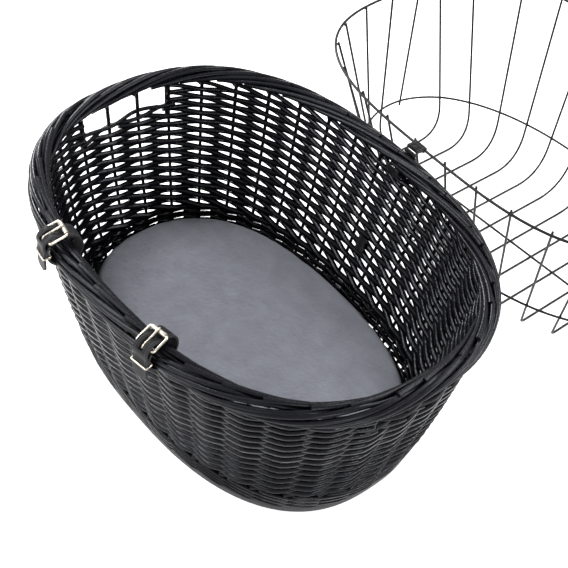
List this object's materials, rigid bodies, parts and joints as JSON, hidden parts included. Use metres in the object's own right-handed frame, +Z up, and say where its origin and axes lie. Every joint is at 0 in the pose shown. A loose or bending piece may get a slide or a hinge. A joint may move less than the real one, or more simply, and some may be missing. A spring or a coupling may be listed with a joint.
{
  "type": "dog bicycle basket",
  "caption": "Oval wicker basket that carries a small dog on a bicycle, with a cushion, buckled front straps, hand holes and a wire dome on a leather hinge, shown open",
  "frame": {"origin": "middle of the base board's flat underside", "axes": "+X along the basket, +Y towards the hinge and the open dome, +Z up"},
  "size_m": [0.5659, 0.8465, 0.2565],
  "materials": {
    "willow": "black glossy painted willow rods",
    "board": "black painted board with a soft gloss",
    "plush": "blue-grey short plush",
    "leather": "black smooth leather",
    "wire": "black coated steel wire",
    "buckle_metal": "bright nickel with a warm tint"
  },
  "bodies": {
    "basket": {"base_board": "board", "foot_border": "willow", "rolled_border": "willow", "wicker_wall_left": "willow", "wicker_wall_right": "willow", "cushion": "plush", "leash_tab": "leather", "hand_hole_sill_left": "willow", "hand_hole_stake_left_near": "willow", "hand_hole_stake_left_far": "willow", "front_strap_left": "leather", "buckle_frame_left": "buckle_metal", "strap_keeper_left": "buckle_metal", "hand_hole_sill_right": "willow", "hand_hole_stake_right_near": "willow", "hand_hole_stake_right_far": "willow", "front_strap_right": "leather", "buckle_frame_right": "buckle_metal", "strap_keeper_right": "buckle_metal", "hinge_strap": "leather"},
    "roller_left": {"buckle_roller_left": "buckle_metal"},
    "prong_left": {"buckle_prong_left": "buckle_metal"},
    "roller_right": {"buckle_roller_right": "buckle_metal"},
    "prong_right": {"buckle_prong_right": "buckle_metal"},
    "flap": {"hinge_flap": "leather", "hinge_rivet": "buckle_metal"},
    "dome": {"dome_rim_wire": "wire", "dome_ring": "wire", "dome_spine": "wire", "dome_hoop_01": "wire", "dome_hoop_02": "wire", "dome_hoop_03": "wire", "dome_hoop_04": "wire", "dome_hoop_05": "wire", "dome_hoop_06": "wire", "dome_hoop_07": "wire", "dome_hoop_08": "wire", "dome_hoop_09": "wire", "dome_hoop_10": "wire", "dome_hoop_11": "wire", "dome_hoop_12": "wire", "dome_end_rib_1": "wire", "dome_end_rib_2": "wire", "dome_end_rib_3": "wire", "dome_end_rib_4": "wire"}
  },
  "joints": [
    {"name": "roller_spin_left", "type": "hinge", "parent": "basket", "child": "roller_left", "pos_m": [-0.08368, -0.1926, 0.25101], "axis": [0.9879, -0.1551, 0], "continuous": true},
    {"name": "prong_lift_left", "type": "hinge", "parent": "basket", "child": "prong_left", "pos_m": [-0.08661, -0.21127, 0.24456], "axis": [0.9879, -0.1551, 0], "range_deg": [0, 105]},
    {"name": "roller_spin_right", "type": "hinge", "parent": "basket", "child": "roller_right", "pos_m": [0.08368, -0.1926, 0.25101], "axis": [0.9879, 0.1551, 0], "continuous": true},
    {"name": "prong_lift_right", "type": "hinge", "parent": "basket", "child": "prong_right", "pos_m": [0.08661, -0.21127, 0.24456], "axis": [0.9879, 0.1551, 0], "range_deg": [0, 105]},
    {"name": "dome_swing", "type": "hinge", "parent": "basket", "child": "flap", "pos_m": [0.01, 0.2128, 0.2388], "axis": [1, 0, 0], "range_deg": [0, 176.9]},
    {"name": "dome_slide", "type": "slide", "parent": "flap", "child": "dome", "axis": [-1, 0, 0], "range_m": [0, 0.0284]}
  ]
}
